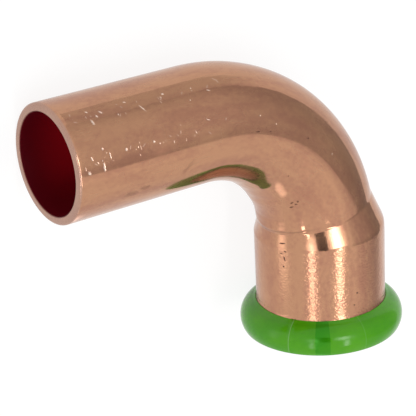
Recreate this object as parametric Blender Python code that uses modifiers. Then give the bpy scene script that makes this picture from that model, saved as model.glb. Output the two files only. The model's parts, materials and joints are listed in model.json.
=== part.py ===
"""Ninety degree press elbow for 22 mm copper tube, a plain spigot on one end and a press socket on the other.

Three real pieces: the copper elbow, made from one length of tube, the rubber ring that its rolled
bead holds, and the plastic press indicator that is snapped over the bead. Metres, +Z up. The elbow
cannot stand on its socket, so it lies on its side, on the bead and on the side of the bend.
"""
import math

import bpy

MM = 0.001

# Copper tube that the elbow is made from, and the tube that its socket takes
TUBE_RADIUS = 11.0 * MM
WALL = 1.6 * MM
# Bend of the centre line, from the socket's axis to the spigot's axis
BEND_RADIUS = 29.7 * MM
BEND_ANGLE = math.radians(90)
MOUTH_TO_SPIGOT_AXIS = 49.9 * MM
SOCKET_AXIS_TO_SPIGOT_END = 59.5 * MM
# The neck's inner side, which the socket's mandrel leaves fuller than the rest of the bend
NECK_FULLNESS = 0.85 * MM
NECK_FULLNESS_PEAK = math.radians(14)
NECK_FULLNESS_END = math.radians(46)
# Spigot end, deburred outside and inside
SPIGOT_EDGE = 0.5 * MM
SPIGOT_INNER_EDGE = 0.2 * MM
# Socket, and the cone between it and the bend, which stops the tube
SOCKET_CLEARANCE = 0.25 * MM
SOCKET_DEPTH = 22.0 * MM
SHOULDER_SLOPE = math.radians(21.5)
SHOULDER_LOW_CURVE = 1.5 * MM
SHOULDER_HIGH_CURVE = 1.0 * MM
STOP_CURVE = 0.4 * MM
# Rubber ring, and how far it stands into the path of the tube
SEAL_SECTION_RADIUS = 1.5 * MM
SEAL_SQUEEZE = 0.2 * MM
SEAL_CLEARANCE = 0.3 * MM
# Rolled bead round the rubber ring
BEAD_WALL = 1.3 * MM
BEAD_FILLET = 0.8 * MM
GROOVE_FILLET = 2.0 * MM
LIP_EDGE = 0.4 * MM
# Press indicator, a thin plastic ring snapped over the bead
INDICATOR_CLEARANCE = 0.3 * MM
INDICATOR_THICKNESS = 0.5 * MM
INDICATOR_TOP_EDGE = 0.35 * MM
INDICATOR_LOWER_END = math.radians(-31)
# Facets
STEPS_ROUND = 50
BEND_STEPS = 20
SEAL_STEPS = 14
GROOVE_STEPS = 12
BEAD_STEPS = 11
INDICATOR_STEPS = 8
EDGE_STEPS = 3
SHARP_EDGE = math.radians(35)
MERGE_DISTANCE = 0.001 * MM

SOCKET_BORE = TUBE_RADIUS + SOCKET_CLEARANCE
SOCKET_OUTER = SOCKET_BORE + WALL
BORE = TUBE_RADIUS - WALL
GROOVE_RADIUS = SEAL_SECTION_RADIUS + SEAL_CLEARANCE
BEAD_RADIUS = GROOVE_RADIUS + BEAD_WALL
SEAL_RADIUS = TUBE_RADIUS - SEAL_SQUEEZE + SEAL_SECTION_RADIUS
# The mouth's plane is tangent to the bead, so the bead's centre is one bead radius above it
SEAL_HEIGHT = BEAD_RADIUS
BEND_START = MOUTH_TO_SPIGOT_AXIS - BEND_RADIUS
BEND_LENGTH = BEND_RADIUS * BEND_ANGLE
BLANK_LENGTH = BEND_START + BEND_LENGTH + SOCKET_AXIS_TO_SPIGOT_END - BEND_RADIUS


def arc(centre, radius, start, end, steps):
    """Points (radius, height) on an arc round centre, from the start angle to the end angle."""
    turns = [start + (end - start) * i / steps for i in range(steps + 1)]
    return [(centre[0] + radius * math.cos(a), centre[1] + radius * math.sin(a)) for a in turns]


def fillet_centre(radius, wall, ring):
    """Centre of a fillet outside a wall of the socket and above a circle of radius ring round the seal."""
    across = wall + radius - SEAL_RADIUS
    return (SEAL_RADIUS + across, SEAL_HEIGHT + math.sqrt((ring + radius) ** 2 - across ** 2))


def angle_from_seal(point):
    return math.atan2(point[1] - SEAL_HEIGHT, point[0] - SEAL_RADIUS)


def shoulder(start, socket, tube, low_curve, high_curve):
    """Cone from the tube's radius down to the socket's at the start station, with a curve at each end."""
    length = (socket - tube) / math.tan(SHOULDER_SLOPE)
    length += (low_curve + high_curve) * math.tan(SHOULDER_SLOPE / 2)
    high_centre = (tube + high_curve, start + length)
    upper = arc(high_centre, high_curve, math.pi, math.pi + SHOULDER_SLOPE, EDGE_STEPS)
    return upper + arc((socket - low_curve, start), low_curve, SHOULDER_SLOPE, 0, EDGE_STEPS)


def outer_shoulder():
    return shoulder(SOCKET_DEPTH, SOCKET_OUTER, TUBE_RADIUS, SHOULDER_LOW_CURVE, SHOULDER_HIGH_CURVE)


def inner_shoulder():
    """The same cone on the bore side, one wall inside the outer skin."""
    shift = (SHOULDER_LOW_CURVE - WALL - STOP_CURVE) * math.tan(SHOULDER_SLOPE / 2)
    return shoulder(SOCKET_DEPTH + shift, SOCKET_BORE, BORE, STOP_CURVE, SHOULDER_HIGH_CURVE + WALL)


def bend_stations(shoulder_top):
    """Rings along the bend, from the spigot's end of it down to just above the shoulder."""
    bend_end = BEND_START + BEND_LENGTH
    return [bend_end + (shoulder_top - bend_end) * i / BEND_STEPS for i in range(BEND_STEPS)]


def elbow_profile():
    """Closed outline of the straight blank: down the outer skin, round the lip, and up the bore."""
    seal = (SEAL_RADIUS, SEAL_HEIGHT)
    fillet = fillet_centre(BEAD_FILLET, SOCKET_OUTER, BEAD_RADIUS)
    corner = fillet_centre(GROOVE_FILLET, SOCKET_BORE, GROOVE_RADIUS)
    stations = bend_stations(outer_shoulder()[0][1])

    edge_centre = (TUBE_RADIUS - SPIGOT_EDGE, BLANK_LENGTH - SPIGOT_EDGE)
    points = arc(edge_centre, SPIGOT_EDGE, math.pi / 2, 0, EDGE_STEPS)
    points += [(TUBE_RADIUS, s) for s in stations]
    points += outer_shoulder()
    points += arc(fillet, BEAD_FILLET, math.pi, math.pi + angle_from_seal(fillet), EDGE_STEPS)
    points += arc(seal, BEAD_RADIUS, angle_from_seal(fillet), -math.pi / 2, BEAD_STEPS)[1:]

    lip_centre = (SOCKET_BORE + LIP_EDGE, LIP_EDGE)
    points += arc(lip_centre, LIP_EDGE, -math.pi / 2, -math.pi, EDGE_STEPS)
    lip_angle = math.acos((SOCKET_BORE - SEAL_RADIUS) / GROOVE_RADIUS)
    points += arc(seal, GROOVE_RADIUS, -lip_angle, angle_from_seal(corner), GROOVE_STEPS)
    points += arc(corner, GROOVE_FILLET, math.pi + angle_from_seal(corner), math.pi, EDGE_STEPS)[1:]
    points += inner_shoulder()[::-1]
    points += [(BORE, s) for s in reversed(stations)]
    points += [(BORE, BLANK_LENGTH - SPIGOT_INNER_EDGE), (BORE + SPIGOT_INNER_EDGE, BLANK_LENGTH)]
    return points


def indicator_profile():
    """Closed outline of the press indicator, which follows the bead and its fillet at a clearance."""
    seal = (SEAL_RADIUS, SEAL_HEIGHT)
    fillet = fillet_centre(BEAD_FILLET, SOCKET_OUTER, BEAD_RADIUS)
    top = angle_from_seal(fillet)
    inner = BEAD_RADIUS + INDICATOR_CLEARANCE
    outer = inner + INDICATOR_THICKNESS
    points = [(SOCKET_OUTER + INDICATOR_CLEARANCE, fillet[1] + INDICATOR_TOP_EDGE)]
    points += arc(seal, outer, top, INDICATOR_LOWER_END, INDICATOR_STEPS)
    points += arc(seal, inner, INDICATOR_LOWER_END, top, INDICATOR_STEPS)
    points += arc(fillet, BEAD_FILLET - INDICATOR_CLEARANCE, math.pi + top, math.pi, EDGE_STEPS)[1:]
    return points


def material(name, colour, roughness, metallic):
    mat = bpy.data.materials.new(name)
    mat.use_nodes = True
    shader = mat.node_tree.nodes["Principled BSDF"]
    shader.inputs["Base Color"].default_value = (*colour, 1)
    shader.inputs["Roughness"].default_value = roughness
    shader.inputs["Metallic"].default_value = metallic
    mat.diffuse_color = (*colour, 1)
    return mat


def turned(name, profile, collection):
    """A closed profile of (radius, height) points, turned all the way round the Z axis."""
    mesh = bpy.data.meshes.new(name)
    edges = [(i, (i + 1) % len(profile)) for i in range(len(profile))]
    mesh.from_pydata([(r, 0, z) for r, z in profile], edges, [])
    obj = bpy.data.objects.new(name, mesh)
    collection.objects.link(obj)
    screw = obj.modifiers.new("Turn", "SCREW")
    screw.steps = screw.render_steps = STEPS_ROUND
    screw.use_merge_vertices = True
    screw.merge_threshold = MERGE_DISTANCE
    return obj


def applied(obj):
    """Replaces the object's mesh by what its modifiers make of it."""
    bpy.context.view_layer.update()
    shape = obj.evaluated_get(bpy.context.evaluated_depsgraph_get())
    mesh = bpy.data.meshes.new_from_object(shape)
    obj.modifiers.clear()
    obj.data = mesh


def smooth(obj):
    obj.data.shade_smooth()
    obj.data.set_sharp_from_angle(angle=SHARP_EDGE)


def fullness(station):
    """Share of NECK_FULLNESS at a station: none at the cone's foot, all at its peak, none past its end."""
    peak = BEND_START + BEND_RADIUS * NECK_FULLNESS_PEAK
    end = BEND_START + BEND_RADIUS * NECK_FULLNESS_END
    if station <= peak:
        share = (station - SOCKET_DEPTH) / (peak - SOCKET_DEPTH)
    else:
        share = (end - station) / (end - peak)
    share = min(max(share, 0), 1)
    return share * share * (3 - 2 * share)


def make_elbow(collection):
    """The tube, turned as a straight blank with its socket and bead, filled out at the neck, and bent."""
    elbow = turned("elbow_body", [(r, s - BEND_START) for r, s in elbow_profile()], collection)
    applied(elbow)
    for vertex in elbow.data.vertices:
        radius = math.hypot(vertex.co.x, vertex.co.y)
        inward = max(-vertex.co.x / radius, 0)
        swell = NECK_FULLNESS * fullness(vertex.co.z + BEND_START) * inward ** 2
        vertex.co.x *= 1 + swell / radius
        vertex.co.y *= 1 + swell / radius
    bend = elbow.modifiers.new("Bend", "SIMPLE_DEFORM")
    bend.deform_method = "BEND"
    bend.deform_axis = "Y"
    bend.angle = -BEND_ANGLE
    bend.limits = (BEND_START / BLANK_LENGTH, (BEND_START + BEND_LENGTH) / BLANK_LENGTH)
    elbow.location.z = BEND_START
    smooth(elbow)
    elbow.data.materials.append(material("Copper", (0.72, 0.40, 0.27), 0.22, 1))
    return elbow


def make_seal(collection):
    """Rubber ring of round section, loose in the bead's groove until it is pressed."""
    section = arc((SEAL_RADIUS, SEAL_HEIGHT), SEAL_SECTION_RADIUS, 0, -math.tau, SEAL_STEPS)[:-1]
    seal = turned("sealing_ring", section, collection)
    applied(seal)
    smooth(seal)
    seal.data.materials.append(material("Rubber", (0.02, 0.02, 0.02), 0.55, 0))
    return seal


def make_indicator(collection):
    """Press indicator of green plastic, outside the bead."""
    indicator = turned("press_indicator", indicator_profile(), collection)
    applied(indicator)
    smooth(indicator)
    indicator.data.materials.append(material("Green plastic", (0.06, 0.32, 0.03), 0.25, 0))
    return indicator


def lay_down(pieces, collection):
    """Lays the elbow on the bead and the side of the bend, over the middle of its box, on Z = 0."""
    rest = bpy.data.objects.new("rest_frame", None)
    collection.objects.link(rest)
    for piece in pieces:
        piece.parent = rest
    reach = BEAD_RADIUS + INDICATOR_CLEARANCE + INDICATOR_THICKNESS
    arm = MOUTH_TO_SPIGOT_AXIS - SEAL_HEIGHT
    span = math.hypot(SEAL_RADIUS, arm)
    tilt = math.atan2(SEAL_RADIUS, arm) - math.asin((TUBE_RADIUS - reach) / span)
    rest.rotation_euler.x = -math.pi / 2 - tilt
    bpy.context.view_layer.update()
    graph = bpy.context.evaluated_depsgraph_get()
    points = []
    for piece in pieces:
        shape = piece.evaluated_get(graph)
        points += [shape.matrix_world @ vertex.co for vertex in shape.data.vertices]
    rest.location.x = -(min(p.x for p in points) + max(p.x for p in points)) / 2
    rest.location.y = -(min(p.y for p in points) + max(p.y for p in points)) / 2
    rest.location.z = -min(p.z for p in points)


for old in list(bpy.data.objects):
    bpy.data.objects.remove(old)
parts = bpy.data.collections.new("press_elbow")
bpy.context.scene.collection.children.link(parts)
lay_down([make_elbow(parts), make_seal(parts), make_indicator(parts)], parts)
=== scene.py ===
"""Press elbow for 22 mm copper tube, laid on its side as it comes to rest.

The copper elbow, the rubber ring in its rolled bead and the green press indicator over the bead are
made here in full detail, one section each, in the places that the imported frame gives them.
"""
import json
import math
import random

import bpy
from mathutils import Matrix, Vector


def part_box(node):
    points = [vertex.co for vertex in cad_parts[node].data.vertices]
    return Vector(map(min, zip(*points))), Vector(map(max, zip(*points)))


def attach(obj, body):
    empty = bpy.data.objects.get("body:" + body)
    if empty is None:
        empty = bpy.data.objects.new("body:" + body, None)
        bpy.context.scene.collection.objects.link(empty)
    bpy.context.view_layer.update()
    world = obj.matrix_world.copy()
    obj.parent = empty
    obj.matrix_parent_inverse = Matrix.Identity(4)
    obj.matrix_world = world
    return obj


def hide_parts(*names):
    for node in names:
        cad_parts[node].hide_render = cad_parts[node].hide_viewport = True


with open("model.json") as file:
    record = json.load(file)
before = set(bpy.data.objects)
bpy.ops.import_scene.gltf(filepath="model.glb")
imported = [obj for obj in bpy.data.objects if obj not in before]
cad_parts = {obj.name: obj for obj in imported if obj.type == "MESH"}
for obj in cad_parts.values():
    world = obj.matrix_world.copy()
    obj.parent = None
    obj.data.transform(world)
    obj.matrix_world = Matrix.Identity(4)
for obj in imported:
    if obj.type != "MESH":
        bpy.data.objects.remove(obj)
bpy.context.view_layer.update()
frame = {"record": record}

# How the elbow lies. It is made upright, in its own frame: the socket's axis is +Z from the plane of
# the mouth, and the spigot points along -X. The frame's mounts say how that lies on the table.
MM = 0.001
mounts = {mount["name"]: mount for mount in frame["record"]["mounts"]}
lip_point = Vector(mounts["socket_mouth"]["pos_m"])
up_the_socket = -Vector(mounts["socket_mouth"]["axis"]).normalized()
off_the_spigot = -Vector(mounts["spigot_end"]["axis"]).normalized()
ring_low, ring_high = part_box("press_indicator")
mouth_centre = Vector(((ring_low.x + ring_high.x) / 2, lip_point.y, lip_point.z))
sideways = up_the_socket.cross(off_the_spigot)
turned_down = Matrix((off_the_spigot, sideways, up_the_socket)).transposed().to_4x4()
laid_down = Matrix.Translation(mouth_centre) @ turned_down

# The camera stands off the spigot's side of the elbow, above it, with a long lens that is tilted a
# little. It aims into the corner between the spigot and the socket.
CAMERA_AIM = Vector((-26.21 * MM, 0, 32.67 * MM))
CAMERA_AZIMUTH = math.radians(-34.378)
CAMERA_ELEVATION = math.radians(22.198)
CAMERA_ROLL = math.radians(-2.836)
CAMERA_DISTANCE = 325.5 * MM
CAMERA_LENS = 151.0


def facing(azimuth, elevation):
    """Turns, in the elbow's frame, what stands off in this direction so that it faces the elbow."""
    return Matrix.Rotation(azimuth, 4, "Z") @ Matrix.Rotation(math.pi / 2 - elevation, 4, "X")


bpy.ops.object.camera_add()
camera = bpy.context.object
camera.name = "camera"
camera.data.lens = CAMERA_LENS
camera.matrix_world = (
    laid_down
    @ Matrix.Translation(CAMERA_AIM)
    @ facing(CAMERA_AZIMUTH, CAMERA_ELEVATION)
    @ Matrix.Rotation(CAMERA_ROLL, 4, "Z")
    @ Matrix.Translation((0, 0, CAMERA_DISTANCE))
)
bpy.context.scene.camera = camera

# The studio: a white table under a white sky, with a dim wall off to the right. Two upright strip lamps
# stand on either side of the camera, each with a soft box over it, and between them the camera itself
# is dark. The copper mirrors all of these.
TABLE_SIZE = 6.0
TABLE_COLOUR = (0.85, 0.85, 0.85)
TABLE_GLOW = 1.1
TABLE_GLOW_SHARE = 0.78
SKY_LIGHT = 0.8
STUDIO_RADIUS = 1.0


class Shade:
    """One output of a shader node. Sums on shades add Math nodes, and node() adds any other node."""

    def __init__(self, output):
        self.output = output

    def node(self, kind, settings=None, output=0, **sockets):
        """Adds a node to the same tree: first its settings, then the values or links of its sockets."""
        tree = self.output.id_data
        made = tree.nodes.new(kind)
        for name, value in (settings or {}).items():
            if name == "stops":
                while len(made.color_ramp.elements) < len(value):
                    made.color_ramp.elements.new(1)
                for stop, (place, colour) in zip(made.color_ramp.elements, value):
                    stop.position, stop.color = place, colour
            else:
                setattr(made, name, value)
        for name, value in sockets.items():
            name = name.strip("_").replace("_", " ")
            socket = made.inputs[int(name) if name.isdigit() else name]
            if isinstance(value, Shade):
                tree.links.new(value.output, socket)
            else:
                socket.default_value = value
        return Shade(made.outputs[output])

    def twin(self, output):
        """Another output of the same node."""
        return Shade(self.output.node.outputs[output])

    def math(self, operation, *values):
        """Adds a Math node to these values, each of them a shade or a number."""
        sockets = {f"_{number}": value for number, value in enumerate(values)}
        return self.node("ShaderNodeMath", {"operation": operation}, **sockets)

    def off_from(self, middle, reach):
        """1 where this shade is the middle value, and smoothly down to 0 at this reach from it."""
        off = (self - middle) / reach
        return self.math("ABSOLUTE", off).between(0, 1, 1, 0)

    def between(self, low, high, start=0.0, end=1.0):
        """Runs smoothly from start, where this shade is low, to end, where it is high."""
        limits = {"From_Min": low, "From_Max": high, "To_Min": start, "To_Max": end}
        smoothly = {"interpolation_type": "SMOOTHSTEP"}
        return self.node("ShaderNodeMapRange", smoothly, Value=self, **limits)

    def blend(self, colour, other):
        """Runs from colour, where this shade is 0, to the other colour, where it is 1."""
        return self.node("ShaderNodeMix", {"data_type": "RGBA"}, output=2, _0=self, _6=colour, _7=other)

    def __add__(self, other):
        return self.math("ADD", self, other)

    def __radd__(self, other):
        return self.math("ADD", other, self)

    def __sub__(self, other):
        return self.math("SUBTRACT", self, other)

    def __rsub__(self, other):
        return self.math("SUBTRACT", other, self)

    def __mul__(self, other):
        return self.math("MULTIPLY", self, other)

    def __rmul__(self, other):
        return self.math("MULTIPLY", other, self)

    def __truediv__(self, other):
        return self.math("DIVIDE", self, other)

    def __rtruediv__(self, other):
        return self.math("DIVIDE", other, self)


def first_shade(tree, kind, output, settings=None):
    """The output of a new node that takes no input."""
    made = tree.nodes.new(kind)
    for name, value in (settings or {}).items():
        setattr(made, name, value)
    return Shade(made.outputs[output])


def seen_plainly(tree):
    """1 for rays that come from the camera or are mirrored or let through by a surface, otherwise 0."""
    seen = first_shade(tree, "ShaderNodeLightPath", "Is Camera Ray")
    indirectly = seen.twin("Is Glossy Ray") + seen.twin("Is Transmission Ray")
    return seen.math("MINIMUM", seen + indirectly, 1)


bpy.ops.object.select_all(action="DESELECT")
bpy.ops.mesh.primitive_plane_add(size=TABLE_SIZE)
table_top = bpy.context.object
table_top.name = "table_top"
table_paint = bpy.data.materials.new("white_table")
table_paint.use_nodes = True
table_paint.node_tree.nodes.clear()
seen = seen_plainly(table_paint.node_tree)
matt = seen.node("ShaderNodeBsdfDiffuse", Color=(*TABLE_COLOUR, 1))
glow = seen.node("ShaderNodeEmission", Color=(1, 1, 1, 1), Strength=TABLE_GLOW)
lit = seen.node("ShaderNodeMixShader", Fac=seen * TABLE_GLOW_SHARE, _1=matt, _2=glow)
surface = table_paint.node_tree.nodes.new("ShaderNodeOutputMaterial")
table_paint.node_tree.links.new(lit.output, surface.inputs["Surface"])
table_top.data.materials.append(table_paint)

sky = bpy.data.worlds.new("white_sky")
bpy.context.scene.world = sky
sky.use_nodes = True
seen = seen_plainly(sky.node_tree)
strength = seen * (1 - SKY_LIGHT) + SKY_LIGHT
background = sky.node_tree.nodes["Background"]
background.inputs["Color"].default_value = (1, 1, 1, 1)
sky.node_tree.links.new(strength.output, background.inputs["Strength"])


def out_at(azimuth, elevation, distance):
    """Place of what stands off in this direction and faces the elbow, in degrees and metres."""
    direction = facing(math.radians(azimuth), math.radians(elevation))
    return laid_down @ Matrix.Translation(CAMERA_AIM) @ direction @ Matrix.Translation((0, 0, distance))


def hang_lamp(name, azimuth, elevation, width, height, brightness):
    """A flat lamp that faces the elbow. A clean mirror shows it at this brightness, where 1 is white."""
    bpy.ops.object.light_add(type="AREA")
    lamp = bpy.context.object
    lamp.name = name
    lamp.data.shape = "RECTANGLE"
    lamp.data.size, lamp.data.size_y = width, height
    lamp.data.energy = 4 * width * height * brightness
    lamp.matrix_world = out_at(azimuth, elevation, STUDIO_RADIUS)
    lamp.visible_camera = False


# The brightness of a card is given in rows of stops, from one side of it to the other. A colour ramp
# holds no more than 1, so its stops are an eighth of the brightness.
RAMP_SHARE = 8
PLAIN = ((0.0, 1.0), (1.0, 1.0))


def set_card(name, placing, width, height, across, upwards=PLAIN, least=0.0):
    """A card that only mirrors show. Its brightness is the least one and the product of two rows."""
    bpy.ops.object.select_all(action="DESELECT")
    bpy.ops.mesh.primitive_plane_add(size=1)
    card = bpy.context.object
    card.name = name
    card.scale = (width, height, 1)
    bpy.ops.object.transform_apply(scale=True)
    card.matrix_world = placing
    paint = bpy.data.materials.new(name)
    paint.use_nodes = True
    paint.node_tree.nodes.clear()
    place = first_shade(paint.node_tree, "ShaderNodeTexCoord", "Object")
    along = place.node("ShaderNodeSeparateXYZ", Vector=place)
    shares = (along / width + 0.5, along.twin(1) / height + 0.5)
    rows = []
    for share, row in zip(shares, (across, upwards)):
        stops = [(position, (*[value / RAMP_SHARE] * 3, 1)) for position, value in row]
        rows.append(share.node("ShaderNodeValToRGB", {"stops": stops}, Fac=share))
    light = place.node("ShaderNodeEmission", Color=rows[0] * rows[1] * RAMP_SHARE ** 2 + least)
    surface = paint.node_tree.nodes.new("ShaderNodeOutputMaterial")
    paint.node_tree.links.new(light.output, surface.inputs["Surface"])
    card.data.materials.append(paint)
    card.visible_camera = card.visible_diffuse = card.visible_shadow = False


def up_to(peak, row):
    """The same row of stops, with this peak in place of 1."""
    return [(position, peak * share) for position, share in row]


# The two strip lamps, the soft boxes over them and the glow that each strip has round it.
ROUND_FALL = ((0, 0), (0.2, 0.05), (0.35, 0.35), (0.5, 1), (0.65, 0.35), (0.8, 0.05), (1, 0))
WIDE_FALL = ((0, 0), (0.2, 0.12), (0.35, 0.6), (0.5, 1), (0.65, 0.6), (0.8, 0.12), (1, 0))
LONG_FALL = ((0, 0), (0.3, 1), (0.7, 1), (1, 0))
hang_lamp("right_strip", azimuth=-2, elevation=-11.25, width=0.11, height=0.7, brightness=4.8)
hang_lamp("left_strip", azimuth=-51, elevation=-16.5, width=0.08, height=0.79, brightness=3.6)
right_box = out_at(-6, 15, 0.98)
set_card("right_box", right_box, 0.64, 0.36, up_to(9.5, WIDE_FALL), LONG_FALL, least=1.0)
left_box = out_at(-50, 10, 0.98)
set_card("left_box", left_box, 0.5, 0.34, up_to(3.6, WIDE_FALL), LONG_FALL, least=1.0)
right_glow = out_at(-3, -5, 1.02)
set_card("right_glow", right_glow, 0.36, 1.0, up_to(1.6, ROUND_FALL), LONG_FALL, least=1.0)
left_glow = out_at(-51, -15, 1.02)
set_card("left_glow", left_glow, 0.3, 1.3, up_to(1.2, ROUND_FALL), LONG_FALL, least=1.0)

# The dim wall, which gives the spigot and the bend their dark band.
WALL_ACROSS = (
    (0.0, 0.9),
    (0.15, 0.8),
    (0.31, 0.74),
    (0.47, 0.66),
    (0.61, 0.57),
    (0.76, 0.48),
    (1.0, 0.46),
)
WALL_UPWARDS = (
    (0.0, 1.4),
    (0.088, 1.3),
    (0.094, 0.7),
    (0.147, 0.8),
    (0.22, 0.93),
    (0.41, 1.05),
    (0.56, 1.12),
    (1.0, 1.15),
)
wall_place = out_at(57, 0, STUDIO_RADIUS) @ Matrix.Translation((0, 0.955, 0))
wall_place = wall_place @ Matrix.Rotation(math.radians(-4), 4, "Z")
set_card("dim_wall", wall_place, 1.45, 3.15, WALL_ACROSS, WALL_UPWARDS)

# Small cards close by: a dim one along the spigot's far side, bright ones to the left of the socket and
# below the neck, and the dark camera.
far_side = out_at(0, 90, 0.052) @ Matrix.Translation((0.013, -0.0025, 0))
set_card("dim_far_side", far_side, 0.066, 0.016, ((0.0, 0.72), (0.6, 0.72), (1.0, 1.0)))
near_left = out_at(-90, 0, 0.02) @ Matrix.Translation((-0.0055, -0.0232, 0))
inwards = ((0, 0), (0.4, 1.0), (0.6, 1.0), (1, 0))
fading_down = ((0, 0), (0.35, 1), (0.85, 1), (1, 0))
set_card("bright_left", near_left, 0.018, 0.029, inwards, fading_down, least=1.0)
below = out_at(-25, -81, 0.286)
glint = ((0, 1.0), (0.35, 1.9), (0.65, 1.9), (1, 1.0))
set_card("low_glint", below, 0.095, 0.06, glint, ((0, 0.85), (0.35, 1.15), (0.65, 1.15), (1, 0.85)))
camera_body = ((0, 0.6), (0.1, 0.03), (0.9, 0.03), (1, 0.9))
set_card("dark_camera", out_at(-31, 15, 0.9), 0.29, 0.44, camera_body)

bpy.context.scene.view_settings.view_transform = "Standard"

# The copper elbow is one length of 22 mm tube. Its socket is opened out on a mandrel and rolled over
# at the mouth into a bead that holds the rubber ring, the neck is bent round to 90 degrees, and the
# spigot end is deburred. It is bright drawn copper, a little tarnished, and dark red in the bore.
TUBE_RADIUS = 11.0 * MM
WALL = 1.6 * MM
BEND_RADIUS = 29.7 * MM
MOUTH_TO_SPIGOT_AXIS = 49.9 * MM
SOCKET_AXIS_TO_SPIGOT_END = 59.5 * MM
SPIGOT_EDGE = 0.5 * MM
SPIGOT_INNER_EDGE = 0.2 * MM
SOCKET_BORE = TUBE_RADIUS + 0.25 * MM
SOCKET_OUTER = SOCKET_BORE + WALL
SOCKET_DEPTH = 21.7 * MM
SHOULDER_SLOPE = math.radians(21.5)
SHOULDER_LOW_CURVE = 3.0 * MM
SHOULDER_HIGH_CURVE = 1.5 * MM
STOP_CURVE = 0.4 * MM
SEAL_SECTION = 1.5 * MM
SEAL_RADIUS = TUBE_RADIUS - 0.2 * MM + SEAL_SECTION
GROOVE_RADIUS = SEAL_SECTION + 0.3 * MM
BEAD_RADIUS = GROOVE_RADIUS + 1.3 * MM
BEAD_FILLET = 2.5 * MM
GROOVE_FILLET = 2.0 * MM
LIP_EDGE = 0.4 * MM
ROUND = 144
RING_SPACING = 0.7 * MM
EDGE_STEPS = 5
BEAD_STEPS = 28
MERGE_REACH = 0.0005 * MM
SMOOTH_UP_TO = math.radians(40)

BORE = TUBE_RADIUS - WALL
BEND_START = MOUTH_TO_SPIGOT_AXIS - BEND_RADIUS
BEND_LENGTH = BEND_RADIUS * math.pi / 2
BLANK_LENGTH = BEND_START + BEND_LENGTH + SOCKET_AXIS_TO_SPIGOT_END - BEND_RADIUS
seal_centre = (SEAL_RADIUS, BEAD_RADIUS)


def arc(centre, radius, start, end, steps):
    """Points (radius, height) on an arc round centre, from the start angle to the end angle."""
    turns = [start + (end - start) * i / steps for i in range(steps + 1)]
    return [(centre[0] + radius * math.cos(a), centre[1] + radius * math.sin(a)) for a in turns]


def fillet_centre(radius, wall, ring):
    """Centre of a fillet that touches a wall of the socket and a circle of radius ring round the seal."""
    across = wall + radius - SEAL_RADIUS
    return (SEAL_RADIUS + across, BEAD_RADIUS + math.sqrt((ring + radius) ** 2 - across ** 2))


def angle_from_seal(point):
    """Angle of a point of the outline round the middle of the rubber ring's section."""
    return math.atan2(point[1] - BEAD_RADIUS, point[0] - SEAL_RADIUS)


def shoulder(start, socket, tube, low_curve, high_curve):
    """Cone from the tube's radius down to the socket's at the start height, with a curve at each end."""
    length = (socket - tube) / math.tan(SHOULDER_SLOPE)
    length += (low_curve + high_curve) * math.tan(SHOULDER_SLOPE / 2)
    high_centre = (tube + high_curve, start + length)
    upper = arc(high_centre, high_curve, math.pi, math.pi + SHOULDER_SLOPE, EDGE_STEPS)
    return upper + arc((socket - low_curve, start), low_curve, SHOULDER_SLOPE, 0, EDGE_STEPS)


def wall_down(radius, top, bottom):
    """Points down a straight wall, between its ends, about one ring spacing apart."""
    count = math.ceil((top - bottom) / RING_SPACING)
    return [(radius, top + (bottom - top) * i / count) for i in range(1, count)]


def elbow_outline():
    """Closed outline of the straight blank: down the outer skin, round the lip, and up the bore."""
    edge_centre = (TUBE_RADIUS - SPIGOT_EDGE, BLANK_LENGTH - SPIGOT_EDGE)
    edge = arc(edge_centre, SPIGOT_EDGE, math.pi / 2, 0, EDGE_STEPS)
    curves = (SHOULDER_LOW_CURVE, SHOULDER_HIGH_CURVE)
    outer_cone = shoulder(SOCKET_DEPTH, SOCKET_OUTER, TUBE_RADIUS, *curves)
    fillet = fillet_centre(BEAD_FILLET, SOCKET_OUTER, BEAD_RADIUS)
    points = edge + wall_down(TUBE_RADIUS, edge[-1][1], outer_cone[0][1]) + outer_cone
    points += wall_down(SOCKET_OUTER, SOCKET_DEPTH, fillet[1])
    points += arc(fillet, BEAD_FILLET, math.pi, math.pi + angle_from_seal(fillet), EDGE_STEPS)
    points += arc(seal_centre, BEAD_RADIUS, angle_from_seal(fillet), -math.pi / 2, BEAD_STEPS)[1:]
    points += arc((SOCKET_BORE + LIP_EDGE, LIP_EDGE), LIP_EDGE, -math.pi / 2, -math.pi, EDGE_STEPS)

    corner = fillet_centre(GROOVE_FILLET, SOCKET_BORE, GROOVE_RADIUS)
    lip_angle = math.acos((SOCKET_BORE - SEAL_RADIUS) / GROOVE_RADIUS)
    points += arc(seal_centre, GROOVE_RADIUS, -lip_angle, angle_from_seal(corner), BEAD_STEPS)
    points += arc(corner, GROOVE_FILLET, math.pi + angle_from_seal(corner), math.pi, EDGE_STEPS)[1:]
    shift = (SHOULDER_LOW_CURVE - WALL - STOP_CURVE) * math.tan(SHOULDER_SLOPE / 2)
    curves = (STOP_CURVE, SHOULDER_HIGH_CURVE + WALL)
    inner_cone = shoulder(SOCKET_DEPTH + shift, SOCKET_BORE, BORE, *curves)
    points += wall_down(SOCKET_BORE, inner_cone[-1][1], corner[1])[::-1] + inner_cone[::-1]
    bore_end = BLANK_LENGTH - SPIGOT_INNER_EDGE
    points += wall_down(BORE, bore_end, inner_cone[0][1])[::-1] + [(BORE, bore_end)]
    return points + [(BORE + SPIGOT_INNER_EDGE, BLANK_LENGTH)]


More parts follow.
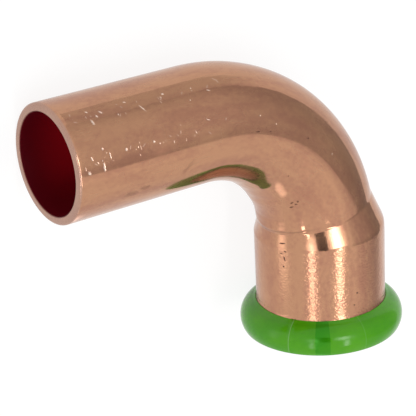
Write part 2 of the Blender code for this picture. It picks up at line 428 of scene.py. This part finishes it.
def turn_outline(name, outline):
    """Draws a circle out ring by ring along a closed outline of (radius, height), into a closed skin."""
    bpy.ops.object.select_all(action="DESELECT")
    radius, height = outline[0]
    bpy.ops.mesh.primitive_circle_add(vertices=ROUND, radius=radius, location=(0, 0, height))
    piece = bpy.context.object
    piece.name = piece.data.name = name
    bpy.ops.object.transform_apply(location=True)
    bpy.ops.object.mode_set(mode="EDIT")
    for next_radius, next_height in outline[1:] + outline[:1]:
        rise = (0, 0, next_height - height)
        bpy.ops.mesh.extrude_region_move(TRANSFORM_OT_translate={"value": rise})
        share = next_radius / radius
        bpy.ops.transform.resize(value=(share, share, 1), center_override=(0, 0, 0))
        radius, height = next_radius, next_height
    bpy.ops.mesh.select_all(action="SELECT")
    bpy.ops.mesh.remove_doubles(threshold=MERGE_REACH)
    bpy.ops.mesh.normals_make_consistent(inside=False)
    bpy.ops.object.mode_set(mode="OBJECT")
    bpy.ops.object.shade_smooth_by_angle(angle=SMOOTH_UP_TO)
    return piece


def lay_down(piece):
    """Puts a finished upright piece in its place on the table, and its place into its mesh."""
    bpy.ops.object.select_all(action="DESELECT")
    piece.select_set(True)
    bpy.context.view_layer.objects.active = piece
    piece.matrix_world = laid_down
    bpy.ops.object.transform_apply(location=True, rotation=True, scale=True)


# The metal has bunched up on the inside of the bend into a soft wrinkle over the cone: height from the
# mouth and outward swelling, in mm.
NECK_SWELLING = (
    (22, 0),
    (25, 0.5),
    (28, 1.15),
    (30, 0.93),
    (32, 0.7),
    (35, 0.62),
    (38, 0.6),
    (42, 0.4),
    (47, 0.2),
    (53, 0),
)


def swelling(height):
    """How far the neck swells out on the inside of its bend, at a height from the mouth."""
    for (low, start), (high, end) in zip(NECK_SWELLING, NECK_SWELLING[1:]):
        if low * MM < height <= high * MM:
            share = (height / MM - low) / (high - low)
            return (start + (end - start) * share * share * (3 - 2 * share)) * MM
    return 0.0


# Marks in the outer skin: pale nicks and faint scratches from handling, dark specks of scale and faint
# smudges. Each has its degrees round the tube from the outside of the bend, then in mm its height from
# the mouth, its length round the tube and its width, then in degrees how far it is turned.
NICKS = (
    (-31, 75.7, 0.5, 0.4, 30), (-34, 76.4, 0.5, 0.15, 60), (-36, 76.6, 0.4, 0.15, -50),
    (-40, 80.9, 1.5, 0.25, 25), (-29, 83.4, 0.5, 0.25, 70), (-33, 88.7, 0.8, 0.35, 40),
    (-36, 89.8, 0.6, 0.3, 20), (-41, 91.1, 1.0, 0.45, 8), (-29, 91.1, 0.6, 0.25, 50),
    (-40, 85.8, 0.3, 0.25, 0), (-33, 69.9, 0.3, 0.2, 0), (-40, 66.9, 0.6, 0.2, 60),
    (-45, 71.3, 0.25, 0.2, 0), (-67, 91.3, 0.5, 0.3, 0), (-74, 90.1, 1.1, 0.2, 5),
    (-83, 91.6, 1.5, 0.35, 0), (-73, 93.7, 0.8, 0.25, 20), (-78, 92.7, 0.5, 0.3, 30),
    (-78, 91.8, 0.8, 0.2, -10), (-73, 86.8, 0.55, 0.4, 10), (-74, 84.4, 0.3, 0.25, 0),
    (-73, 81.1, 0.5, 0.35, 10), (-76, 80.0, 0.3, 0.25, 0), (-78, 77.1, 0.5, 0.15, 0),
    (-79, 74.6, 0.6, 0.15, 10), (-75, 72.3, 0.7, 0.15, 15), (-67, 69.3, 0.9, 0.15, 60),
    (-77, 55.5, 0.25, 0.2, 0), (-71, 59.0, 0.3, 0.2, 0), (-76, 40.9, 0.3, 0.2, 0),
    (-85, 94.6, 0.7, 0.5, 30),
)
SPECKS = (
    (-139, 38.0, 0.8, 0.45, 30), (-136, 37.1, 0.7, 0.4, -40), (-142, 36.6, 0.8, 0.4, 0),
    (-133, 37.7, 0.6, 0.4, 70), (-121, 46.3, 0.3, 0.25, 0), (-86, 59.2, 0.25, 1.1, 0),
    (-85, 56.5, 0.2, 0.8, 0), (-79, 47.6, 0.25, 0.4, 30), (-162, 24.2, 1.2, 0.4, 15),
    (-159, 21.8, 0.4, 0.5, 30), (-163, 20.8, 0.5, 0.35, -20), (-160, 19.6, 0.3, 0.9, 10),
    (-161, 17.9, 0.35, 0.4, 0), (-95, 12.0, 0.3, 0.4, 0), (-98, 9.6, 0.35, 0.3, 0),
    (-93, 6.9, 0.4, 0.3, 0),
)
SMUDGES = (
    (-120, 85.8, 1.2, 2.6, 0), (-117, 83.0, 0.9, 2.2, 0), (-107, 74.2, 3.6, 0.6, -45),
)
SCRATCH_ROWS = (-34, -75, 60, 110, 160, -150)
SCRATCHES_IN_ROW = 22
SCRATCH_WIDTH = 0.16
chance = random.Random(22)
SCRATCHES = tuple(
    (
        row + chance.gauss(0, 4),
        chance.uniform(64, 95.5),
        chance.uniform(0.25, 0.9),
        SCRATCH_WIDTH,
        chance.gauss(10, 35),
    )
    for row in SCRATCH_ROWS
    for _ in range(SCRATCHES_IN_ROW)
)
MARK_KINDS = ((NICKS, 1), (SCRATCHES, 0.45), (SPECKS, -1), (SMUDGES, -0.3))
MARK_REACH = 2.0 * MM
NO_MARK = (99, 99, 0)


def lay_out_marks(piece, rise):
    """Gives each face's corners their place on the mark that is nearest to the face.

    The places count half lengths and half widths from the mark's middle, and then say its kind: pale
    marks are above 0 and dark ones below. Faces with no mark near lie far off.
    """
    layer = piece.data.attributes.new("mark_place", "FLOAT_VECTOR", "CORNER")
    kinds = [(mark, kind) for marks, kind in MARK_KINDS for mark in marks]
    points = [(math.atan2(v.co.y, v.co.x), v.co.z + rise) for v in piece.data.vertices]

    def place_on(mark, point):
        angle, height, length, width, turned = mark
        round_by = math.remainder(point[0] - math.radians(angle), math.tau) * TUBE_RADIUS
        up_by = point[1] - height * MM
        cos, sin = math.cos(math.radians(turned)), math.sin(math.radians(turned))
        along = (round_by * cos + up_by * sin) / (length / 2 * MM)
        return along, (up_by * cos - round_by * sin) / (width / 2 * MM)

    for face in piece.data.polygons:
        middle = (math.atan2(face.center.y, face.center.x), face.center.z + rise)
        near = [pair for pair in kinds if abs(pair[0][1] * MM - middle[1]) < MARK_REACH]
        nearest = min(near, key=lambda pair: math.hypot(*place_on(pair[0], middle)), default=None)
        for corner in face.loop_indices:
            if nearest is None:
                layer.data[corner].vector = NO_MARK
            else:
                point = points[piece.data.loops[corner].vertex_index]
                layer.data[corner].vector = (*place_on(nearest[0], point), nearest[1])


def keep_places(piece, rise=0.0):
    """Keeps each point's place as turned, for the material, whatever happens to the piece later."""
    kept = piece.data.attributes.new("as_turned", "FLOAT_VECTOR", "POINT")
    for vertex in piece.data.vertices:
        kept.data[vertex.index].vector = vertex.co + Vector((0, 0, rise))


# The blank is turned with the start of its bend at the origin, so that bending leaves its socket upright.
elbow = turn_outline("copper_elbow", [(r, z - BEND_START) for r, z in elbow_outline()])
keep_places(elbow, BEND_START)
lay_out_marks(elbow, BEND_START)
inner_side = elbow.data.attributes.new("inner_side", "FLOAT", "POINT")
for vertex in elbow.data.vertices:
    outward = Vector((vertex.co.x, vertex.co.y, 0)).normalized()
    inner_side.data[vertex.index].value = -outward.dot(vertex.normal)
for vertex in elbow.data.vertices:
    radius = math.hypot(vertex.co.x, vertex.co.y)
    inward = max(-vertex.co.x / radius, 0)
    swell = swelling(vertex.co.z + BEND_START) * inward ** 2
    vertex.co.x *= 1 + swell / radius
    vertex.co.y *= 1 + swell / radius
bend = elbow.modifiers.new("Bend", "SIMPLE_DEFORM")
bend.deform_method = "BEND"
bend.deform_axis = "Y"
bend.angle = -math.pi / 2
bend.limits = (BEND_START / BLANK_LENGTH, (BEND_START + BEND_LENGTH) / BLANK_LENGTH)
bpy.ops.object.modifier_apply(modifier="Bend")
elbow.location.z = BEND_START
bpy.ops.object.transform_apply(location=True)
lay_down(elbow)

# The copper's finish. It is bright and mottled, with faint lines along the tube from the drawing and a
# finer grain round the socket from the mandrel. The bending die has left a crease round the inside of
# the neck, darkened with painted shade. The sawn end is dull and the inside of the socket is clean. The
# bore is dark red, with painted shade near its opening and painted light deeper in.
COPPER_COLOUR = (0.52, 0.272, 0.16, 1)
TARNISH_COLOUR = (0.43, 0.205, 0.132, 1)
BARE_COLOUR = (0.95, 0.74, 0.62, 1)
CUT_COLOUR = (0.42, 0.28, 0.235, 1)
# Dark scale for the specks, and also the painted shade that darkens the crease round the neck.
SCALE_AND_CREASE_SHADE_COLOUR = (0.06, 0.025, 0.02, 1)
# The bore's dark red, painted brighter deep in, where light falls off, and painted darker near the
# opening.
BORE_PAINTED_LIGHT_COLOUR = (0.5, 0.004, 0.014, 1)
BORE_PAINTED_SHADE = (0.1, 0.0, 0.004, 1)
CREASE_HEIGHT = 27.9 * MM
CREASE_REACH = 0.4 * MM
CREASE_DEPTH = 0.04
CLEAN_UP_TO = 24 * MM
RED_FROM = 32 * MM
PAINTED_LIGHT_DEPTH = 14 * MM
PAINTED_LIGHT_REACH = 13.5 * MM
MULTIPLY_ADD = {"operation": "MULTIPLY_ADD"}


def grain(place, scale, detail=2.0):
    """Noise between about -1 and 1, with this many spots in a metre along each axis."""
    spots = place.node("ShaderNodeMapping", Vector=place, Scale=scale)
    return place.node("ShaderNodeTexNoise", Vector=spots, Scale=1.0, Detail=detail) * 4 - 2


copper = bpy.data.materials.new("drawn_copper")
copper.use_nodes = True
copper.node_tree.nodes.remove(copper.node_tree.nodes["Principled BSDF"])
place = first_shade(copper.node_tree, "ShaderNodeAttribute", "Vector", {"attribute_name": "as_turned"})
inner = first_shade(copper.node_tree, "ShaderNodeAttribute", "Fac", {"attribute_name": "inner_side"})
inner = inner.between(0.3, 0.9)
across = place.node("ShaderNodeSeparateXYZ", Vector=place)
height = across.twin(2)
socket = height.between(SOCKET_DEPTH - 0.5 * MM, SOCKET_DEPTH + 1.5 * MM, 1, 0)
cut_end = height.between(BLANK_LENGTH - 0.55 * MM, BLANK_LENGTH - 0.2 * MM)

mark = first_shade(copper.node_tree, "ShaderNodeAttribute", "Vector", {"attribute_name": "mark_place"})
ragged = place.node("ShaderNodeTexNoise", output=1, Vector=place, Scale=3500.0, Detail=1.0)
mark = place.node("ShaderNodeVectorMath", MULTIPLY_ADD, _0=ragged, _1=(1.2, 1.2, 0), _2=mark)
on_mark = place.node("ShaderNodeVectorMath", MULTIPLY_ADD, _0=mark, _1=(1, 1, 0), _2=(-0.6, -0.6, 0))
marked = place.node("ShaderNodeVectorMath", {"operation": "LENGTH"}, 1, _0=on_mark)
marked = marked.between(0.5, 1.35, 1, 0) * (1 - inner)
kind = place.node("ShaderNodeSeparateXYZ", Vector=mark).twin(2)
nicks = marked * kind.math("MAXIMUM", kind, 0)
specks = marked * kind.math("MAXIMUM", 0 - kind, 0)

inside_bend = across.between(-9.5 * MM, -6 * MM, 1, 0)
# The crease is a real dent in the relief below, and the same mask darkens it with painted shade.
crease_dent_and_shade = height.off_from(CREASE_HEIGHT, CREASE_REACH) * inside_bend * (1 - inner)
tarnish = grain(place, (240, 240, 32), 4.0) * 0.6 + grain(place, (480, 480, 110), 3.0) * 0.5
tarnish = (tarnish + grain(place, (1300, 1300, 900)) * 0.4).between(-0.65, 0.85)
colour = tarnish.blend(COPPER_COLOUR, TARNISH_COLOUR)
colour = (cut_end * 0.6).blend(colour, CUT_COLOUR)
# Dark specks of scale, and painted shade along the crease.
colour = (specks * 0.85 + crease_dent_and_shade * 0.3).blend(colour, SCALE_AND_CREASE_SHADE_COLOUR)
colour = (nicks * 0.85).blend(colour, BARE_COLOUR)
# Painted shade near the bore's opening and along the inside of the bend, and painted light brightest
# about 14 mm in from the spigot end.
bored = inner * height.between(CLEAN_UP_TO, RED_FROM)
bore_painted_light = height.off_from(BLANK_LENGTH - PAINTED_LIGHT_DEPTH, PAINTED_LIGHT_REACH)
bore_painted_light = bore_painted_light * across.between(-9.5 * MM, -4 * MM, 0.3, 1)
colour = bored.blend(colour, bore_painted_light.blend(BORE_PAINTED_SHADE, BORE_PAINTED_LIGHT_COLOUR))
smudges = grain(place, (220, 220, 140), 5.0).between(-0.3, 1.3)
roughness = 0.07 + smudges * 0.05 + socket * 0.09 + cut_end * 0.12 + nicks * 0.2
formed = height.between(27 * MM, 30 * MM, 1, 0)
hazy = grain(place, (260, 260, 90), 5.0).between(0.2, 1.0)
worn = 0.21 + smudges * 0.19 + hazy * 0.27 - formed * 0.14 + inner * 0.25 + bored + specks

waves = grain(place, (90, 90, 25), 1.0) * 0.012
drawn_lines = grain(place, (2600, 2600, 60)) * (1 - socket) * 0.0016
socket_grain = grain(place, (1500, 1500, 3000)) * socket * 0.015
sawn = grain(place, (1800, 1800, 1800)) * cut_end * 0.008
relief = waves + drawn_lines + socket_grain + sawn
relief = relief - crease_dent_and_shade * CREASE_DEPTH - nicks * 0.03 - specks * 0.02
bump = place.node("ShaderNodeBump", Height=relief, Distance=MM)
skin = {"Base_Color": colour, "Metallic": 1 - bored, "Normal": bump}
bright = place.node("ShaderNodeBsdfPrincipled", Roughness=roughness, **skin)
dull = place.node("ShaderNodeBsdfPrincipled", Roughness=0.5, Specular_IOR_Level=0.1, **skin)
both = place.node("ShaderNodeMixShader", Fac=worn.math("MINIMUM", worn, 1), _1=bright, _2=dull)
surface = copper.node_tree.nodes["Material Output"]
copper.node_tree.links.new(both.output, surface.inputs["Surface"])
elbow.data.materials.append(copper)
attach(elbow, "root")
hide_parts("elbow_body")

# The rubber ring seals against the tube that is pushed in. It is moulded in two halves, which leaves a
# fine flash line round its inside and its outside, and it lies loose in the groove of the bead.
SEAL_STEPS = 48
FLASH_HEIGHT = 0.06 * MM
RUBBER_COLOUR = (0.016, 0.016, 0.017, 1)

seal_outline = arc(seal_centre, SEAL_SECTION, 0, -math.tau, SEAL_STEPS)[:-1]
for step, outward in ((0, 1), (SEAL_STEPS // 2, -1)):
    radius, height = seal_outline[step]
    seal_outline[step] = (radius + outward * FLASH_HEIGHT, height)
seal = turn_outline("rubber_seal", seal_outline)
keep_places(seal)
lay_down(seal)

rubber = bpy.data.materials.new("black_rubber")
rubber.use_nodes = True
shader = rubber.node_tree.nodes["Principled BSDF"]
shader.inputs["Base Color"].default_value = RUBBER_COLOUR
place = first_shade(rubber.node_tree, "ShaderNodeAttribute", "Vector", {"attribute_name": "as_turned"})
roughness = grain(place, (300, 300, 300)).between(-1, 1, 0.42, 0.6)
bump = place.node("ShaderNodeBump", Height=grain(place, (4000, 4000, 4000)) * 0.003, Distance=MM)
rubber.node_tree.links.new(roughness.output, shader.inputs["Roughness"])
rubber.node_tree.links.new(bump.output, shader.inputs["Normal"])
seal.data.materials.append(rubber)
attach(seal, "root")
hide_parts("sealing_ring")

# The green ring shows that the joint isn't pressed yet. It is one glossy plastic moulding that is
# snapped over the bead and hugs it. It has a raised parting line on each side and a faint pale line at
# its front, where a stretch of deeper green is a painted dark reflection.
INDICATOR_CLEARANCE = 0.3 * MM
INDICATOR_THICKNESS = 0.5 * MM
INDICATOR_TOP = 7.11 * MM
INDICATOR_LOWER_END = math.radians(-31)
INDICATOR_PLAY = 0.02 * MM
INDICATOR_OUTER_TOP = math.atan2(3.66, 1.35)
RIM_OUT = 0.12 * MM
RIM_UP = 0.04 * MM
INDICATOR_STEPS = 30
PARTING_LINES = (-151.75, 28.25)
PARTING_HALF = 1.3
PARTING_EDGE = 0.2 * MM
PARTING_HEIGHT = 0.07 * MM
FAINT_LINE = -96.2
SEAM_REACH = 0.6
FAINT_REACH = 0.5
# The front stretch of deeper green is a painted dark reflection; the deep green also serves the mottle.
PAINTED_REFLECTION_STRETCH = (-132.5, -122.5)
REFLECTION_EDGE = 0.5
GREEN = (0.085, 0.36, 0.003, 1)
DEEP_GREEN_AND_REFLECTION = (0.026, 0.26, 0.0, 1)
PALE_GREEN = (0.40, 0.62, 0.33, 1)
GREEN_IOR = 1.35


def indicator_outline():
    """Closed outline of the green ring: down its outside, and back up against the bead."""
    fillet = fillet_centre(BEAD_FILLET, SOCKET_OUTER, BEAD_RADIUS)
    top = angle_from_seal(fillet)
    outer = BEAD_RADIUS + INDICATOR_CLEARANCE + INDICATOR_THICKNESS
    inner = BEAD_RADIUS + INDICATOR_PLAY
    hollow = BEAD_FILLET - INDICATOR_PLAY
    rim = math.pi + math.asin((fillet[1] - INDICATOR_TOP) / hollow)
    points = arc(seal_centre, outer, INDICATOR_OUTER_TOP, INDICATOR_LOWER_END, INDICATOR_STEPS)
    points += arc(seal_centre, inner, INDICATOR_LOWER_END, top, INDICATOR_STEPS)
    points += arc(fillet, hollow, math.pi + top, rim, EDGE_STEPS)[1:]
    return points + [(points[-1][0] + RIM_OUT, points[-1][1] + RIM_UP)]


def pick_outside(piece, start, end):
    """Selects the ring's outer faces between two angles round it, in degrees, and opens edit mode."""
    bpy.ops.object.mode_set(mode="EDIT")
    bpy.ops.mesh.select_all(action="DESELECT")
    bpy.ops.mesh.select_mode(type="FACE")
    bpy.ops.object.mode_set(mode="OBJECT")
    for face in piece.data.polygons:
        across = math.hypot(face.center.x, face.center.y) - SEAL_RADIUS
        outside = math.hypot(across, face.center.z - BEAD_RADIUS) > BEAD_RADIUS + INDICATOR_THICKNESS
        angle = math.degrees(math.atan2(face.center.y, face.center.x))
        face.select = outside and start < angle < end
    bpy.ops.object.mode_set(mode="EDIT")


indicator = turn_outline("green_indicator", indicator_outline())
for line in PARTING_LINES:
    pick_outside(indicator, line - PARTING_HALF, line + PARTING_HALF)
    bpy.ops.mesh.inset(thickness=PARTING_EDGE)
    bpy.ops.transform.shrink_fatten(value=PARTING_HEIGHT)
    bpy.ops.object.mode_set(mode="OBJECT")
keep_places(indicator)
lay_down(indicator)

green = bpy.data.materials.new("green_plastic")
green.use_nodes = True
shader = green.node_tree.nodes["Principled BSDF"]
shader.inputs["IOR"].default_value = GREEN_IOR
place = first_shade(green.node_tree, "ShaderNodeAttribute", "Vector", {"attribute_name": "as_turned"})
across = place.node("ShaderNodeSeparateXYZ", Vector=place)
angle = across.math("ARCTAN2", across.twin(1), across)
# A painted dark reflection: deeper green and a little metallic over this stretch.
start, end = PAINTED_REFLECTION_STRETCH
painted_reflection = angle.between(math.radians(start - REFLECTION_EDGE), math.radians(start))
painted_reflection = painted_reflection * angle.between(math.radians(end), math.radians(end + REFLECTION_EDGE), 1, 0)
cloudy = grain(place, (150, 150, 190), 3.0).between(-0.9, 1.0)
colour = (painted_reflection * 0.5 + cloudy * 0.5).blend(GREEN, DEEP_GREEN_AND_REFLECTION)
seam = angle.off_from(math.radians(PARTING_LINES[0]), math.radians(SEAM_REACH))
faint = angle.off_from(math.radians(FAINT_LINE), math.radians(FAINT_REACH))
colour = (seam * 0.3 + faint * 0.1).blend(colour, PALE_GREEN)
roughness = cloudy * 0.06 + 0.12
relief = grain(place, (250, 250, 250)) * 0.014 + grain(place, (200, 200, 3500)) * 0.0012
bump = place.node("ShaderNodeBump", Height=relief, Distance=MM)
metallic = painted_reflection * 0.25
tinted = {"Base Color": colour, "Metallic": metallic, "Roughness": roughness, "Normal": bump}
for name, value in tinted.items():
    green.node_tree.links.new(value.output, shader.inputs[name])
indicator.data.materials.append(green)
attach(indicator, "root")
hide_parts("press_indicator")
